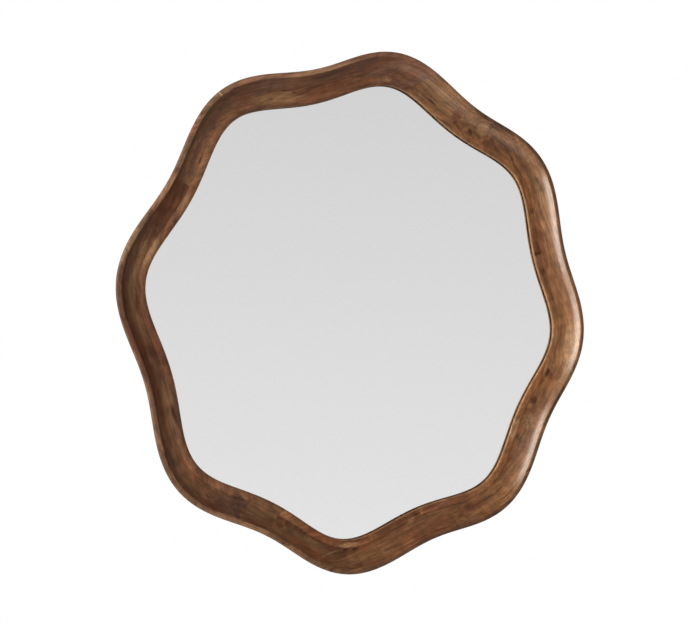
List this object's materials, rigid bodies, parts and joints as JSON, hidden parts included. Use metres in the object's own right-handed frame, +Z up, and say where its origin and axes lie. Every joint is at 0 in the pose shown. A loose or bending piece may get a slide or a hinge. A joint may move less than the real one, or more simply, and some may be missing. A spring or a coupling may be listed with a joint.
{
  "type": "round wall mirror",
  "caption": "Round wall mirror in a deep coved wooden frame with a waved outline, glued from arcs and short blocks, with a screwed backing board, strap hangers and wall bumpers.",
  "frame": {"origin": "on the plane of the wall, behind the middle of the mirror", "axes": "+X to the right as seen from the front, +Y into the wall, +Z up"},
  "size_m": [0.9098, 0.0515, 0.9096],
  "materials": {
    "frame_wood": "brown figured hardwood under a satin lacquer",
    "tongue_wood": "plain beech, unfinished",
    "silvered_glass": "silvered on the back, with a clear flat front",
    "foam_tape": "soft closed-cell foam",
    "fibreboard": "plain medium-density fibreboard",
    "zinc_steel": "bright zinc plate",
    "bumper_rubber": "matte black rubber"
  },
  "bodies": {
    "mirror_body": {"arc_right": "frame_wood", "block_top": "frame_wood", "arc_upper_left": "frame_wood", "block_upper_left": "frame_wood", "arc_left": "frame_wood", "block_lower_left": "frame_wood", "arc_bottom": "frame_wood", "block_lower_right": "frame_wood", "frame_tongues": "tongue_wood", "mirror_glass": "silvered_glass", "glass_cushion": "foam_tape", "backing_board": "fibreboard", "board_screws": "zinc_steel", "left_hanger_strap": "zinc_steel", "right_hanger_strap": "zinc_steel", "hanger_screws": "zinc_steel", "wall_bumpers": "bumper_rubber"},
    "left_ring": {"left_hanger_ring": "zinc_steel"},
    "right_ring": {"right_hanger_ring": "zinc_steel"}
  },
  "joints": [
    {"name": "left_ring_swing", "type": "hinge", "parent": "mirror_body", "child": "left_ring", "pos_m": [-0.35982, -0.00425, 0.17425], "axis": [-1, 0, 0], "range_deg": [0, 175]},
    {"name": "right_ring_swing", "type": "hinge", "parent": "mirror_body", "child": "right_ring", "pos_m": [0.35982, -0.00425, 0.17425], "axis": [-1, 0, 0], "range_deg": [0, 175]}
  ]
}
